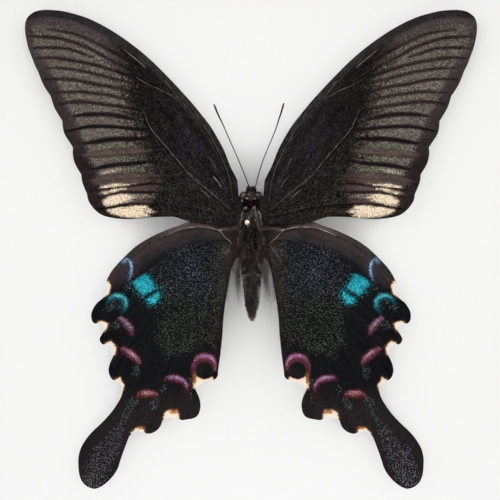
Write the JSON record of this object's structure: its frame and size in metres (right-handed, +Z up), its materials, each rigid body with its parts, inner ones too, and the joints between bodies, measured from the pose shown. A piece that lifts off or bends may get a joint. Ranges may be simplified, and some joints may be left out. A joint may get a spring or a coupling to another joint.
{
  "type": "framed butterfly specimen",
  "caption": "Square shadow-box frame with a glazed front that holds a spread, pinned black swallowtail butterfly in front of a white backing board",
  "frame": {"origin": "the middle of the frame's foot, on the surface that it stands on", "axes": "+X right for somebody who looks at the glass, +Y to the rear, +Z up; the glass faces -Y"},
  "size_m": [0.18, 0.04, 0.18],
  "materials": {
    "stained_wood": "dark stain under satin varnish",
    "clear_glass": "clear float glass",
    "white_board": "matt white",
    "brown_fibreboard": "bare fibreboard",
    "bright_steel": "zinc plated",
    "pin_brass": "polished",
    "forewing_scales": "matt brown-black wing scales, grey rows and cream patches",
    "hindwing_scales": "velvet black wing scales with blue-green patches and red lunules",
    "body_hair": "covered with short black hair",
    "black_horn": "glossy black horn"
  },
  "bodies": {
    "root": {"frame_rail_bottom": "stained_wood", "frame_rail_right": "stained_wood", "frame_rail_top": "stained_wood", "frame_rail_left": "stained_wood", "back_tab_bottom_left": "bright_steel", "back_tab_bottom_right": "bright_steel", "back_tab_top_left": "bright_steel", "back_tab_top_right": "bright_steel", "back_tab_left_lower": "bright_steel", "back_tab_left_upper": "bright_steel", "back_tab_right_lower": "bright_steel", "back_tab_right_upper": "bright_steel", "spacer_top": "white_board", "spacer_bottom": "white_board", "spacer_left": "white_board", "spacer_right": "white_board", "front_glass": "clear_glass", "backing_board": "white_board", "back_panel": "brown_fibreboard", "sawtooth_hanger": "bright_steel", "hanger_nail_left": "bright_steel", "hanger_nail_right": "bright_steel", "thorax": "body_hair", "abdomen": "body_hair", "head": "black_horn", "proboscis": "black_horn", "insect_pin": "pin_brass", "forewing_left": "forewing_scales", "hindwing_left": "hindwing_scales", "antenna_left": "black_horn", "leg_fore_left": "black_horn", "leg_mid_left": "black_horn", "leg_hind_left": "black_horn", "forewing_right": "forewing_scales", "hindwing_right": "hindwing_scales", "antenna_right": "black_horn", "leg_fore_right": "black_horn", "leg_mid_right": "black_horn", "leg_hind_right": "black_horn"}
  },
  "joints": []
}
